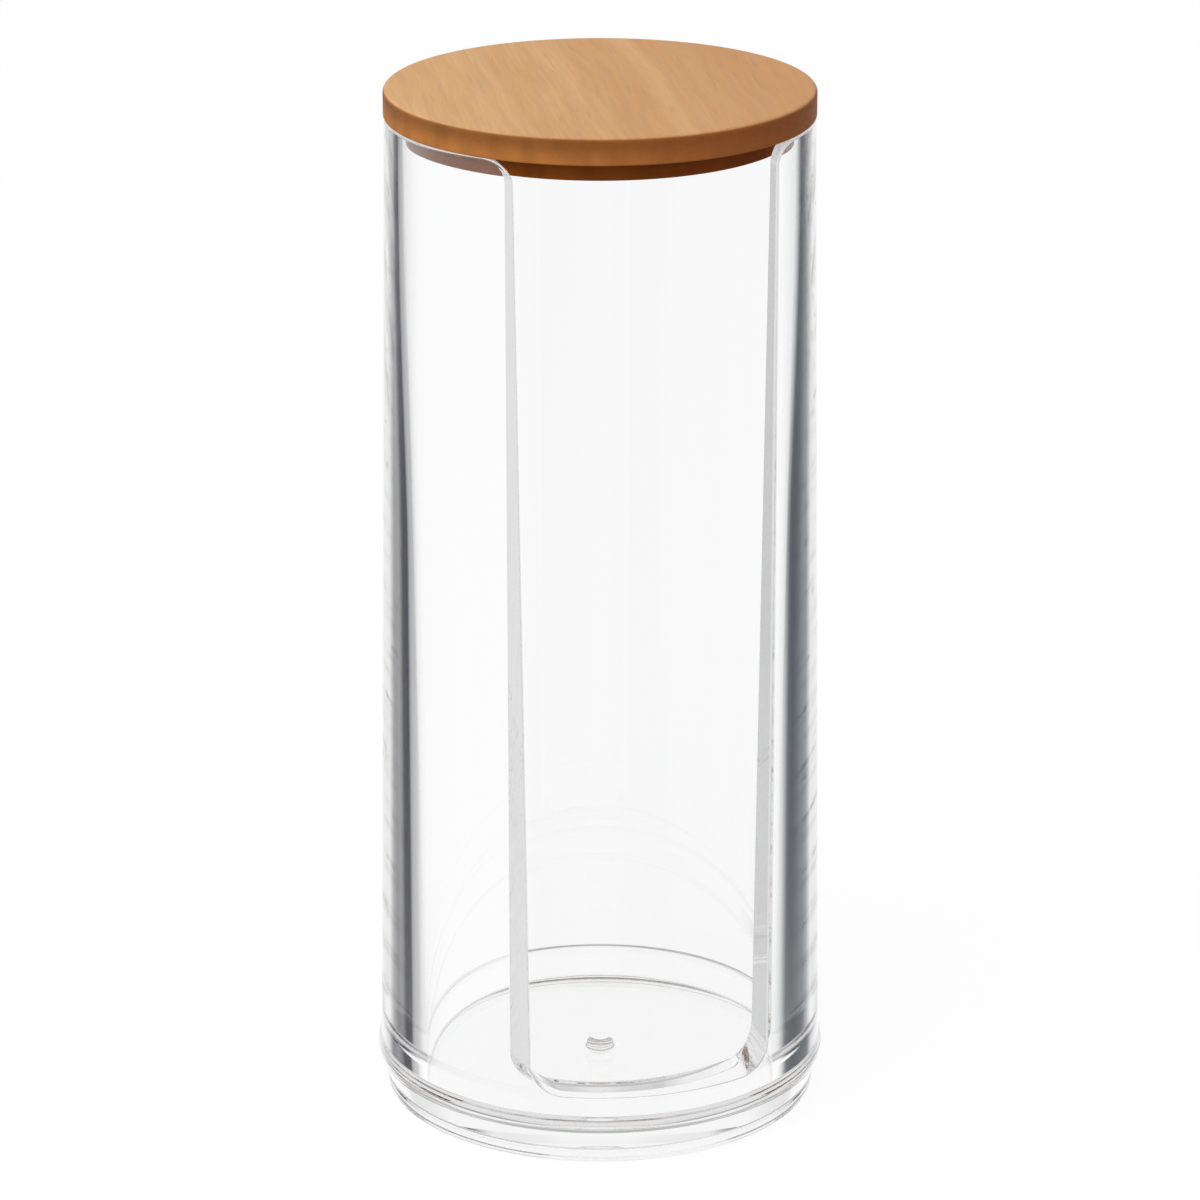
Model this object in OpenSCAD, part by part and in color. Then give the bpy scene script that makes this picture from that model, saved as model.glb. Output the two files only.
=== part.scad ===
// Cotton pad holder: a clear moulded container with a full-height front slot,
// closed by a turned wooden lid whose plug drops into the mouth.
// Millimetres, +Z up. The origin is the middle of the foot, on the surface it stands on.
// The slot faces -Y.

/* [Pads] */
// Diameter of the round cotton pads that the container is made for
pad_d = 58; // [50:0.5:64]
// Gap all round between the pads and the bore, at the floor
pad_gap = 1.6; // [1:0.1:3]

/* [Container] */
// Height of the rim above the surface
rim_z = 171.5; // [120:0.5:220]
// Thickness of the wall at the rim
rim_wall = 2.7; // [2.2:0.1:4]
// Draft of the outer wall in degrees, wider towards the foot
wall_draft = 0.92; // [0.4:0.02:1.4]
// Draft of the bore in degrees, narrower towards the floor
bore_draft = 0.7; // [0.3:0.02:1]
// Round on the outer edge of the rim
rim_round = 0.5; // [0.2:0.1:0.8]
// Chamfer that leads the plug into the mouth
mouth_chamfer = 0.5; // [0.2:0.1:0.8]

/* [Floor and foot] */
// Height of the floor's upper face above the surface
floor_z = 5; // [4:0.1:8]
// Round between the bore and the floor
floor_round = 0.6; // [0.5:0.1:3]
// Depth of the recess under the floor
recess_h = 1.5; // [0.8:0.1:2.2]
// Width of the ring that the container stands on
foot_w = 4; // [3:0.1:6]
// How far the foot is set back from the line of the outer wall
foot_inset = 1.15; // [0.8:0.05:2]
// How much narrower the foot is at the surface than where it starts to sweep out
foot_taper = 0.2; // [0:0.05:0.5]
// Round on the outer edge of the foot
foot_round = 0.6; // [0.3:0.1:1]
// Height at which the foot starts to sweep out into the collar
foot_h = 2.8; // [2:0.1:3.5]

/* [Collar on the parting line] */
// Height of the collar's crest above the surface
collar_z = 7.3; // [6.5:0.1:9]
// How far the crest stands proud of the outer wall
collar_out = 0.5; // [0.3:0.05:1]
// Radius of the collar's round
collar_r = 3.2; // [2:0.1:3.6]

/* [Gate mark] */
// Diameter of the gate mark at its foot
gate_d = 4.8; // [4.6:0.2:10]
// Diameter of the gate mark at its top
gate_top_d = 4.4; // [2:0.2:4.6]
// Height of the gate mark above the floor
gate_h = 1.6; // [0.6:0.1:2.4]

/* [Front slot] */
// Height of the slot's sill above the surface
sill_z = 12.3; // [10:0.1:30]
// Width of the slot at the sill
slot_w = 41; // [24:0.5:46]
// Draft of each side of the slot in degrees, wider towards the rim
slot_draft = 0.44; // [0:0.02:0.6]
// Radius of the slot's lower corners
sill_corner_r = 5; // [2:0.5:8]
// Radius of the corners where the slot runs out at the rim
rim_corner_r = 4; // [1.5:0.5:6]

/* [Lid] */
// Thickness of the lid's disc
disc_h = 4.5; // [3:0.1:8]
// How far the disc overhangs the rim
disc_over = 0.15; // [0:0.05:2]
// Round on the disc's upper edge
disc_top_round = 0.7; // [0.3:0.1:1.2]
// Round on the disc's lower edge
disc_low_round = 0.3; // [0.2:0.1:0.8]
// Depth of the plug below the disc
plug_h = 3.3; // [2.4:0.1:10]
// Gap all round between the plug and the mouth
plug_gap = 0.6; // [0.3:0.05:1.5]
// Round on the plug's lower edge
plug_round = 0.5; // [0.2:0.1:1]

/* [Hidden] */
$fn = 128;
// Facets of the small rounds along an edge
edge_fn = 32;

// Room that a cutter runs past the face that it cuts
past = 1;
// How far the circle of the slot's upper corner tops the rim, so that they meet at an angle
rim_corner_rise = 0.1;
// How far a round stands proud of the leaning side that it rounds off, so that they cross
bite = 0.002;

function bore_at(z) = pad_d / 2 + pad_gap + (z - floor_z) * tan(bore_draft);
function wall_at(z) = rim_r + (rim_z - z) * tan(wall_draft);
function slot_at(z) = slot_w / 2 + (z - sill_z) * tan(slot_draft);

mouth_r = bore_at(rim_z);
rim_r = mouth_r + rim_wall;

// Foot: its taper, its radius at the surface and where the flank starts, and the recess
foot_r = wall_at(foot_h) - foot_inset;
foot_top_r = foot_r + foot_taper;
recess_r = foot_r - foot_w;

// Collar: the middle of its round, and the flank that runs up from the foot to touch it
collar_mid_r = wall_at(collar_z) + collar_out - collar_r;
flank_rise = collar_z - foot_h;
flank_lean = foot_top_r - collar_mid_r;
flank_angle = asin(collar_r / norm([flank_lean, flank_rise])) - atan(flank_lean / flank_rise);
flank_top_r = collar_mid_r + collar_r * cos(flank_angle);
flank_top_z = collar_z - collar_r * sin(flank_angle);

// Lid
disc_r = rim_r + disc_over;
plug_r = mouth_r - plug_gap;

// Outer form of the container, from the surface to the rim, as a half section
module outer_section() {
    lip_z = rim_z - rim_round;
    lip_r = wall_at(lip_z) - rim_round / cos(wall_draft);
    polygon([
        [0, 0],
        [foot_r - foot_round, 0],
        [foot_r - bite, foot_round],
        [foot_top_r, foot_h],
        [flank_top_r - bite, flank_top_z],
        [wall_at(collar_z), collar_z],
        [lip_r + rim_round * cos(wall_draft) - bite, lip_z + rim_round * sin(wall_draft)],
        [lip_r, rim_z],
        [0, rim_z]
    ]);
    edge_round(foot_r - foot_round, foot_round, foot_round);
    edge_round(collar_mid_r, collar_z, collar_r);
    edge_round(lip_r, lip_z, rim_round);
}

// Round of an edge in a half section: its middle's radius and height, and its own radius
module edge_round(mid_r, mid_z, r) {
    translate([mid_r, mid_z]) circle(r = r, $fn = edge_fn);
}

// Bore that the pads stand in: the gate mark stands up from the floor in its middle,
// and the bore has a round at the floor and a chamfer at the mouth
module bore_section() {
    corner_z = floor_z + floor_round;
    corner_r = bore_at(corner_z) - floor_round / cos(bore_draft);
    lip_z = rim_z - mouth_chamfer;
    polygon([
        [0, floor_z + gate_h],
        [gate_top_d / 2, floor_z + gate_h],
        [gate_d / 2, floor_z],
        [corner_r, floor_z],
        [corner_r + floor_round * cos(bore_draft) - bite, corner_z - floor_round * sin(bore_draft)],
        [bore_at(lip_z), lip_z],
        [mouth_r + mouth_chamfer, rim_z],
        [mouth_r + mouth_chamfer, rim_z + past],
        [0, rim_z + past]
    ]);
    edge_round(corner_r, corner_z, floor_round);
}

// Half the front view of the slot: a straight drafted side, a round lower corner on the
// sill, and a corner that sweeps outwards where the slot runs out at the rim
module slot_half() {
    low_z = sill_z + sill_corner_r;
    low_x = slot_at(low_z) - sill_corner_r / cos(slot_draft);
    low_side_z = low_z - sill_corner_r * sin(slot_draft);
    top_z = rim_z + rim_corner_rise - rim_corner_r;
    top_x = slot_at(top_z) + rim_corner_r / cos(slot_draft) - bite;
    top_side_z = top_z + rim_corner_r * sin(slot_draft);
    polygon([
        [0, sill_z],
        [low_x, sill_z],
        [slot_at(low_side_z) - bite, low_side_z],
        [slot_at(rim_z), rim_z],
        [slot_at(rim_z), rim_z + past],
        [0, rim_z + past]
    ]);
    translate([low_x, low_z]) circle(r = sill_corner_r);
    difference() {
        translate([0, top_side_z]) square([top_x, rim_z + past - top_side_z]);
        translate([top_x, top_z]) circle(r = rim_corner_r);
    }
}

// Prism that cuts the slot through the front wall alone
module slot_cutter() {
    rotate([90, 0, 0])
        linear_extrude(collar_mid_r + collar_r + past) {
            slot_half();
            mirror([1, 0]) slot_half();
        }
}

// One clear moulding: tapered wall, collar, foot, floor and front slot
module container() {
    color([0.90, 0.92, 0.93, 0.35])
        difference() {
            rotate_extrude() outer_section();
            rotate_extrude() bore_section();
            translate([0, 0, -past]) cylinder(h = recess_h + past, r = recess_r);
            slot_cutter();
        }
}

// Disc that rests on the rim, with a round on each edge
module lid_disc() {
    color([0.80, 0.58, 0.34])
        translate([0, 0, rim_z])
            rotate_extrude() {
                polygon([
                    [0, 0],
                    [disc_r - disc_low_round, 0],
                    [disc_r - bite, disc_low_round],
                    [disc_r - bite, disc_h - disc_top_round],
                    [disc_r - disc_top_round, disc_h],
                    [0, disc_h]
                ]);
                edge_round(disc_r - disc_low_round, disc_low_round, disc_low_round);
                edge_round(disc_r - disc_top_round, disc_h - disc_top_round, disc_top_round);
            }
}

// Plug glued under the disc, which keeps the lid central in the mouth
module lid_plug() {
    color([0.62, 0.40, 0.20])
        translate([0, 0, rim_z - plug_h])
            rotate_extrude() {
                polygon([
                    [0, 0],
                    [plug_r - plug_round, 0],
                    [plug_r - bite, plug_round],
                    [plug_r - bite, plug_h],
                    [0, plug_h]
                ]);
                edge_round(plug_r - plug_round, plug_round, plug_round);
            }
}

container();
lid_disc();
lid_plug();
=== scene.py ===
"""Looks of a cotton pad holder: a clear moulded container with a slot, and a wooden lid.

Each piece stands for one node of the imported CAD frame, in the frame's own axes and at
its sizes. Its surface is worked out with numpy in millimetres, and goes into its mesh
in metres.
"""

import logging
import math
from dataclasses import dataclass
from enum import Enum

import bpy
import numpy as np
from mathutils import Matrix, Vector


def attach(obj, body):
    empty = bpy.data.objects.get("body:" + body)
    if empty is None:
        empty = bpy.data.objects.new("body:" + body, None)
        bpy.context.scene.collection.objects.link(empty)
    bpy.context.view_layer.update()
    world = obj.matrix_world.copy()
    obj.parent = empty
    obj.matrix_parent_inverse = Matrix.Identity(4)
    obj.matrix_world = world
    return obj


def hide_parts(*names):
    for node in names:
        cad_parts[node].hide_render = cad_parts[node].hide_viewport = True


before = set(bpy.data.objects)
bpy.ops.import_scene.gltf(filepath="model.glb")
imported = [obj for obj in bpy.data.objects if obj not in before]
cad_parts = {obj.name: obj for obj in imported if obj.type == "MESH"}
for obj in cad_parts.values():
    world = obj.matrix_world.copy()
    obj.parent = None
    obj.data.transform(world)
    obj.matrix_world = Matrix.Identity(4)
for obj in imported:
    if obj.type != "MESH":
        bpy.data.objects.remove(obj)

LOG = logging.getLogger("pad_holder")
STARTUP_OBJECTS = ("Cube", "Camera", "Light")
MM = 0.001
# Points nearer to each other than this are one
WELD_MM = 1e-4
HALF_TURN = math.pi
QUARTER_TURN = math.pi / 2
WHITE = (1.0, 1.0, 1.0, 1.0)
# Sockets of a Mix node that mixes colours, by number
COLOUR_INPUTS = (6, 7)
COLOUR_RESULT = 2
# Faces that a ray passes on its way through one wall
FACES_OF_ONE_WALL = 2.0


class Node(Enum):
    """CAD nodes that the new pieces stand for."""

    CONTAINER = "container"
    LID_DISC = "lid_disc"
    LID_PLUG = "lid_plug"


class Body(Enum):
    """CAD bodies that the pieces ride on."""

    CONTAINER = "container"
    LID = "lid"


class Slot(Enum):
    """Material slots of the record."""

    CLEAR = "clear_plastic"
    LID_WOOD = "lid_wood"
    PLUG_WOOD = "plug_wood"


class Side(Enum):
    """The two faces of the container's wall."""

    OUTER = 1.0
    INNER = -1.0


def arc_steps(start: float, end: float, steps: int) -> np.ndarray:
    """Even angles from start to end, both included."""
    return np.linspace(start, end, steps + 1)


def turned(azimuth: np.ndarray, radius: np.ndarray, height: np.ndarray) -> np.ndarray:
    """Points at an azimuth, counted from the front, -Y, towards +X.

    Formula: x is the radius times the sine, y is minus the radius times the cosine.

    Args:
        azimuth: Angles in radians.
        radius: Distances from the axis.
        height: Heights above the surface.

    Returns:
        Points, with x, y and z on the last axis.
    """
    azimuth, radius, height = np.broadcast_arrays(azimuth, radius, height)
    return np.stack([radius * np.sin(azimuth), -radius * np.cos(azimuth), height], axis=-1)


def between_directions(start: np.ndarray, end: np.ndarray, steps: int) -> np.ndarray:
    """Unit directions that sweep evenly from start to end.

    Formula: spherical interpolation, where each direction is the sum of the two
    ends, weighted by the sines of the angle still to go and of the angle done.

    Args:
        start: Unit directions, with x, y and z on the last axis.
        end: Unit directions of the same shape.
        steps: Number of steps of the sweep.

    Returns:
        Directions with the steps on a new first axis.
    """
    angle = np.arccos(np.clip((start * end).sum(-1), -1.0, 1.0))[None, ..., None]
    share = np.linspace(0.0, 1.0, steps + 1).reshape(-1, *([1] * start.ndim))
    return (np.sin((1 - share) * angle) * start + np.sin(share * angle) * end) / np.sin(angle)


def rounded_profile(
    corners: list[tuple[float, float]], rounds: list[float], steps: int
) -> tuple[np.ndarray, np.ndarray]:
    """Half section whose corners are rounded by arcs that touch both their sides.

    Formula: the arc starts its radius times the tangent of half the turn before the
    corner. Along it the direction turns evenly, and the place is the arc's start plus
    the radius times the change of the direction's sine and of its cosine.

    Args:
        corners: Radius and height of each corner, walked with the material on the left.
        rounds: Radius of the arc at each corner; the two ends have none.
        steps: Steps of each arc.

    Returns:
        The points and their outward normals, as (radius, height) rows.
    """
    spots = np.array(corners)
    legs = np.diff(spots, axis=0)
    heading = np.unwrap(np.arctan2(legs[:, 1], legs[:, 0]))
    places, headings = [spots[:1]], [heading[:1]]
    for spot, size, before, after in zip(spots[1:-1], rounds, heading[:-1], heading[1:]):
        sign = math.copysign(1.0, after - before)
        back = size * math.tan(abs(after - before) / 2)
        start = spot - back * np.array([math.cos(before), math.sin(before)])
        swept = arc_steps(before, after, steps)
        moved = np.stack(
            [np.sin(swept) - math.sin(before), math.cos(before) - np.cos(swept)], axis=-1
        )
        places.append(start + sign * size * moved)
        headings.append(swept)
    places.append(spots[-1:])
    headings.append(heading[-1:])
    facing = np.concatenate(headings)
    return np.concatenate(places), np.stack([np.sin(facing), -np.cos(facing)], axis=-1)


def revolved(
    profile: np.ndarray, facing: np.ndarray, azimuth: np.ndarray
) -> tuple[np.ndarray, np.ndarray]:
    """Surface of revolution over a half section.

    Formula: each point of the section is turned to each azimuth, and so is its normal.

    Args:
        profile: (radius, height) of the section's points.
        facing: (radial, upward) parts of their normals.
        azimuth: Angles of the columns.

    Returns:
        Points and normals, with the section along the rows and the turn along the columns.
    """
    points = turned(azimuth[None, :], profile[:, :1], profile[:, 1:])
    return points, turned(azimuth[None, :], facing[:, :1], facing[:, 1:])


def filled_patch(
    bottom: np.ndarray, top: np.ndarray, left: np.ndarray, right: np.ndarray
) -> np.ndarray:
    """Grid of (azimuth, height) between four border lines.

    Formula: a Coons patch, which is the blend of bottom and top, plus the blend of left
    and right, less the blend of the four corners. The share across follows the azimuth
    along the top line, and the share upwards follows the height along the left line.

    Args:
        bottom: Line of the lowest row, from left to right.
        top: Line of the highest row, from left to right.
        left: Line of the first column, upwards.
        right: Line of the last column, upwards.

    Returns:
        Rows upwards, columns to the right, with azimuth and height on the last axis.
    """
    across = ((top[:, 0] - top[0, 0]) / (top[-1, 0] - top[0, 0]))[None, :, None]
    upward = ((left[:, 1] - left[0, 1]) / (left[-1, 1] - left[0, 1]))[:, None, None]
    rows = (1 - upward) * bottom[None] + upward * top[None]
    columns = (1 - across) * left[:, None] + across * right[:, None]
    corners = (1 - upward) * ((1 - across) * bottom[0] + across * bottom[-1]) + upward * (
        (1 - across) * top[0] + across * top[-1]
    )
    return rows + columns - corners


class Skin:
    """Gathers the patches of one closed surface and welds them into a mesh."""

    def __init__(self) -> None:
        """Starts with no patch."""
        self.points: list[np.ndarray] = []
        self.normals: list[np.ndarray] = []
        self.quads: list[np.ndarray] = []
        self.count = 0

    def add(self, points: np.ndarray, normals: np.ndarray) -> None:
        """Adds a grid patch.

        Args:
            points: Grid of points in millimetres, (rows, columns, 3).
            normals: Outward normal at each point.
        """
        rows, columns = points.shape[:2]
        index = self.count + np.arange(rows * columns).reshape(rows, columns)
        corners = [index[:-1, :-1], index[1:, :-1], index[1:, 1:], index[:-1, 1:]]
        self.quads.append(np.stack(corners, axis=-1).reshape(-1, 4))
        self.points.append(points.reshape(-1, 3))
        self.normals.append(normals.reshape(-1, 3))
        self.count += rows * columns

    def add_both_sides(self, points: np.ndarray, normals: np.ndarray) -> None:
        """Adds a patch of the +X half and its mirror image.

        Args:
            points: Grid of points in millimetres, (rows, columns, 3).
            normals: Outward normal at each point.
        """
        mirror = np.array([-1.0, 1.0, 1.0])
        self.add(points, normals)
        self.add(points * mirror, normals * mirror)

    def weld(self, name: str) -> bpy.types.Object:
        """Joins the patches where they meet and makes the object.

        Points nearer than the weld size become one, whose normal is the mean of theirs.
        Each face is wound so that it faces along its normals. A face with two corners
        in one place becomes a triangle, and one with more is left out.

        Args:
            name: Name of the object.

        Returns:
            The object, at the origin, with the worked out normals on its corners.
        """
        points, normals = np.concatenate(self.points), np.concatenate(self.normals)
        _, first, place = np.unique(
            np.round(points / WELD_MM).astype(np.int64),
            axis=0, return_index=True, return_inverse=True,
        )
        place = place.reshape(-1)
        total = np.zeros((len(first), 3))
        np.add.at(total, place, normals)
        facing = total / np.linalg.norm(total, axis=1, keepdims=True)
        spots = points[first]
        quads = place[np.concatenate(self.quads)]
        shape = spots[quads]
        front = np.cross(shape[:, 2] - shape[:, 0], shape[:, 3] - shape[:, 1])
        back_to_front = (front * facing[quads].sum(1)).sum(-1) < 0
        quads[back_to_front] = quads[back_to_front][:, ::-1]
        doubled = quads == np.roll(quads, -1, axis=1)
        whole, halved = doubled.sum(1) == 0, doubled.sum(1) == 1
        triangles = quads[halved][~doubled[halved]].reshape(-1, 3)
        mesh = bpy.data.meshes.new(name)
        mesh.from_pydata((spots * MM).tolist(), [], quads[whole].tolist() + triangles.tolist())
        mesh.polygons.foreach_set("use_smooth", np.ones(len(mesh.polygons), bool))
        mesh.normals_split_custom_set_from_vertices(facing.tolist())
        mesh.update()
        piece = bpy.data.objects.new(name, mesh)
        bpy.context.scene.collection.objects.link(piece)
        return piece


def ride_as(piece: bpy.types.Object, body: Body, node: Node) -> None:
    """Ties a finished piece to its body and CAD node, and reports it.

    Args:
        piece: The finished piece.
        body: Body that it rides on.
        node: CAD node that it stands for.
    """
    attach(piece, body.value)
    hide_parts(node.value)
    LOG.info("%s rides on %s: %d faces", piece.name, body.value, len(piece.data.polygons))


@dataclass(frozen=True)
class Noise:
    """A soft noise: its features per metre, its layers of detail and how rough they are."""

    scale: float
    detail: float = 2.0
    rough: float = 0.5


def grey(level: float) -> tuple[float, float, float, float]:
    """Opaque grey of a level."""
    return (level, level, level, 1.0)


class Bench:
    """Lays out the nodes of one material or world."""

    def __init__(self, tree: bpy.types.NodeTree) -> None:
        """Clears the tree."""
        self.tree = tree
        tree.nodes.clear()

    def fill(self, socket: bpy.types.NodeSocket, value: object) -> None:
        """Links an input to a source socket, or sets its value.

        Args:
            socket: The input.
            value: Source socket or plain value.
        """
        if isinstance(value, bpy.types.NodeSocket):
            self.tree.links.new(value, socket)
        else:
            socket.default_value = value

    def node(self, kind: str, inputs: dict | None = None, **settings: object) -> bpy.types.Node:
        """Makes a node.

        Args:
            kind: Node type without its ShaderNode prefix.
            inputs: Value or source socket for each input, by name or number.
            settings: The node's own properties.

        Returns:
            The node.
        """
        made = self.tree.nodes.new("ShaderNode" + kind)
        for name, value in settings.items():
            setattr(made, name, value)
        for key, value in (inputs or {}).items():
            self.fill(made.inputs[key], value)
        return made

    def math(self, operation: str, *values: object) -> bpy.types.NodeSocket:
        """Result of a Math node over values or sockets."""
        return self.node("Math", dict(enumerate(values)), operation=operation).outputs[0]

    def parts(self, vector: bpy.types.NodeSocket) -> list[bpy.types.NodeSocket]:
        """The x, y and z of a vector."""
        return list(self.node("SeparateXYZ", {"Vector": vector}).outputs)

    def even_grey(self, level: bpy.types.NodeSocket) -> bpy.types.NodeSocket:
        """Grey of a level that varies."""
        return self.node("CombineXYZ", {"X": level, "Y": level, "Z": level}).outputs[0]

    def ranged(
        self, value: object, low: float, high: float, start: float = 0.0, end: float = 1.0
    ) -> bpy.types.NodeSocket:
        """Value carried smoothly and clamped from low..high to start..end."""
        inputs = {"Value": value, "From Min": low, "From Max": high, "To Min": start, "To Max": end}
        return self.node("MapRange", inputs, interpolation_type="SMOOTHSTEP").outputs["Result"]

    def chosen(self, flag: object, off: object, on: object) -> bpy.types.NodeSocket:
        """Level off where the flag is 0, and level on where it is 1."""
        inputs = {"Value": flag, "To Min": off, "To Max": on}
        return self.node("MapRange", inputs).outputs["Result"]

    def mixed(
        self, share: object, first: object, second: object, blend: str = "MIX"
    ) -> bpy.types.NodeSocket:
        """Colour between two others.

        Args:
            share: Share of the second colour.
            first: First colour.
            second: Second colour.
            blend: Way in which the second colour is laid over the first.

        Returns:
            The colour.
        """
        mix = self.node("Mix", {"Factor": share}, data_type="RGBA", blend_type=blend)
        for number, value in zip(COLOUR_INPUTS, (first, second)):
            self.fill(mix.inputs[number], value)
        return mix.outputs[COLOUR_RESULT]

    def noise(self, place: bpy.types.NodeSocket, kind: Noise) -> bpy.types.NodeSocket:
        """Soft noise from 0 to 1 at a place."""
        inputs = {"Vector": place, "Scale": kind.scale, "Detail": kind.detail, "Roughness": kind.rough}
        return self.node("TexNoise", inputs).outputs["Fac"]

    def object_place(self) -> bpy.types.NodeSocket:
        """Object coordinates."""
        return self.node("TexCoord").outputs["Object"]

    def placed(self, scale: tuple[float, float, float], turn: float = 0.0) -> bpy.types.NodeSocket:
        """Object coordinates, turned about Z and then stretched.

        Args:
            scale: Stretch along each axis.
            turn: Turn in radians.

        Returns:
            The place.
        """
        inputs = {"Vector": self.object_place(), "Rotation": (0.0, 0.0, turn)}
        turned_place = self.node("Mapping", inputs, vector_type="POINT").outputs[0]
        inputs = {"Vector": turned_place, "Scale": scale}
        return self.node("Mapping", inputs, vector_type="POINT").outputs[0]


class Rays:
    """What a tree's nodes know of the ray that reaches them.

    Attributes:
        diffuse: 1 for a ray that carries light to a matt surface.
        reflections: How often it has been reflected.
        reflected: 1 if it has been reflected at all.
        entered: 1 if it has passed any face of clear plastic.
        not_one_wall: 0 if it has passed just the two faces of one wall, and else 1.
    """

    def __init__(self, bench: Bench) -> None:
        """Reads the ray's path.

        Args:
            bench: Bench of the material or world.
        """
        path = bench.node("LightPath").outputs
        self.diffuse = path["Is Diffuse Ray"]
        self.reflections = path["Glossy Depth"]
        self.reflected = bench.math("MINIMUM", self.reflections, 1.0)
        passes = path["Transmission Depth"]
        self.entered = bench.math("MINIMUM", passes, 1.0)
        off_one_wall = bench.math("ABSOLUTE", bench.math("SUBTRACT", passes, FACES_OF_ONE_WALL))
        self.not_one_wall = bench.math("MINIMUM", off_one_wall, 1.0)


def new_material(name: str) -> tuple[bpy.types.Material, Bench]:
    """Starts a node material.

    Args:
        name: Its name.

    Returns:
        The empty material and the bench that fills it.
    """
    material = bpy.data.materials.new(name)
    material.use_nodes = True
    return material, Bench(material.node_tree)


@dataclass(frozen=True)
class ClearPlastic:
    """Clear moulded plastic: water-clear, glossy, with the faint waves of a moulding.

    Attributes:
        ior: Index of refraction.
        tint: Colour of what passes through a face.
        gloss: Roughness where it is clean and where it has been handled most.
        marks: Noise of the handling marks.
        mark_range: Noise between which a clean place turns into a handled one.
        waves: Noise of the waviness.
        wave_stretch: Scale along the wall's height, so that the waves run upright.
        wave_height: Height of the waves in metres.
    """

    ior: float = 1.57
    tint: tuple[float, float, float, float] = (0.995, 0.997, 0.996, 1.0)
    gloss: tuple[float, float] = (0.006, 0.022)
    marks: Noise = Noise(380.0, 3.0, 0.6)
    mark_range: tuple[float, float] = (0.35, 0.8)
    waves: Noise = Noise(26.0, 1.0, 0.4)
    wave_stretch: float = 0.12
    wave_height: float = 0.00003

    def make(self) -> bpy.types.Material:
        """Makes the material.

        Returns:
            A Principled material whose roughness varies with faint handling marks and
            whose bump is the slow waviness of the wall.
        """
        material, bench = new_material("clear_moulded_plastic")
        marks = bench.noise(bench.object_place(), self.marks)
        waves = bench.noise(bench.placed((1.0, 1.0, self.wave_stretch)), self.waves)
        bump = bench.node("Bump", {"Height": waves, "Distance": self.wave_height, "Strength": 1.0})
        shader = bench.node(
            "BsdfPrincipled",
            {
                "Base Color": self.tint,
                "Roughness": bench.ranged(marks, *self.mark_range, *self.gloss),
                "IOR": self.ior,
                "Transmission Weight": 1.0,
                "Normal": bump.outputs[0],
            },
        )
        bench.node("OutputMaterial", {"Surface": shader.outputs[0]})
        return material


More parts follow.
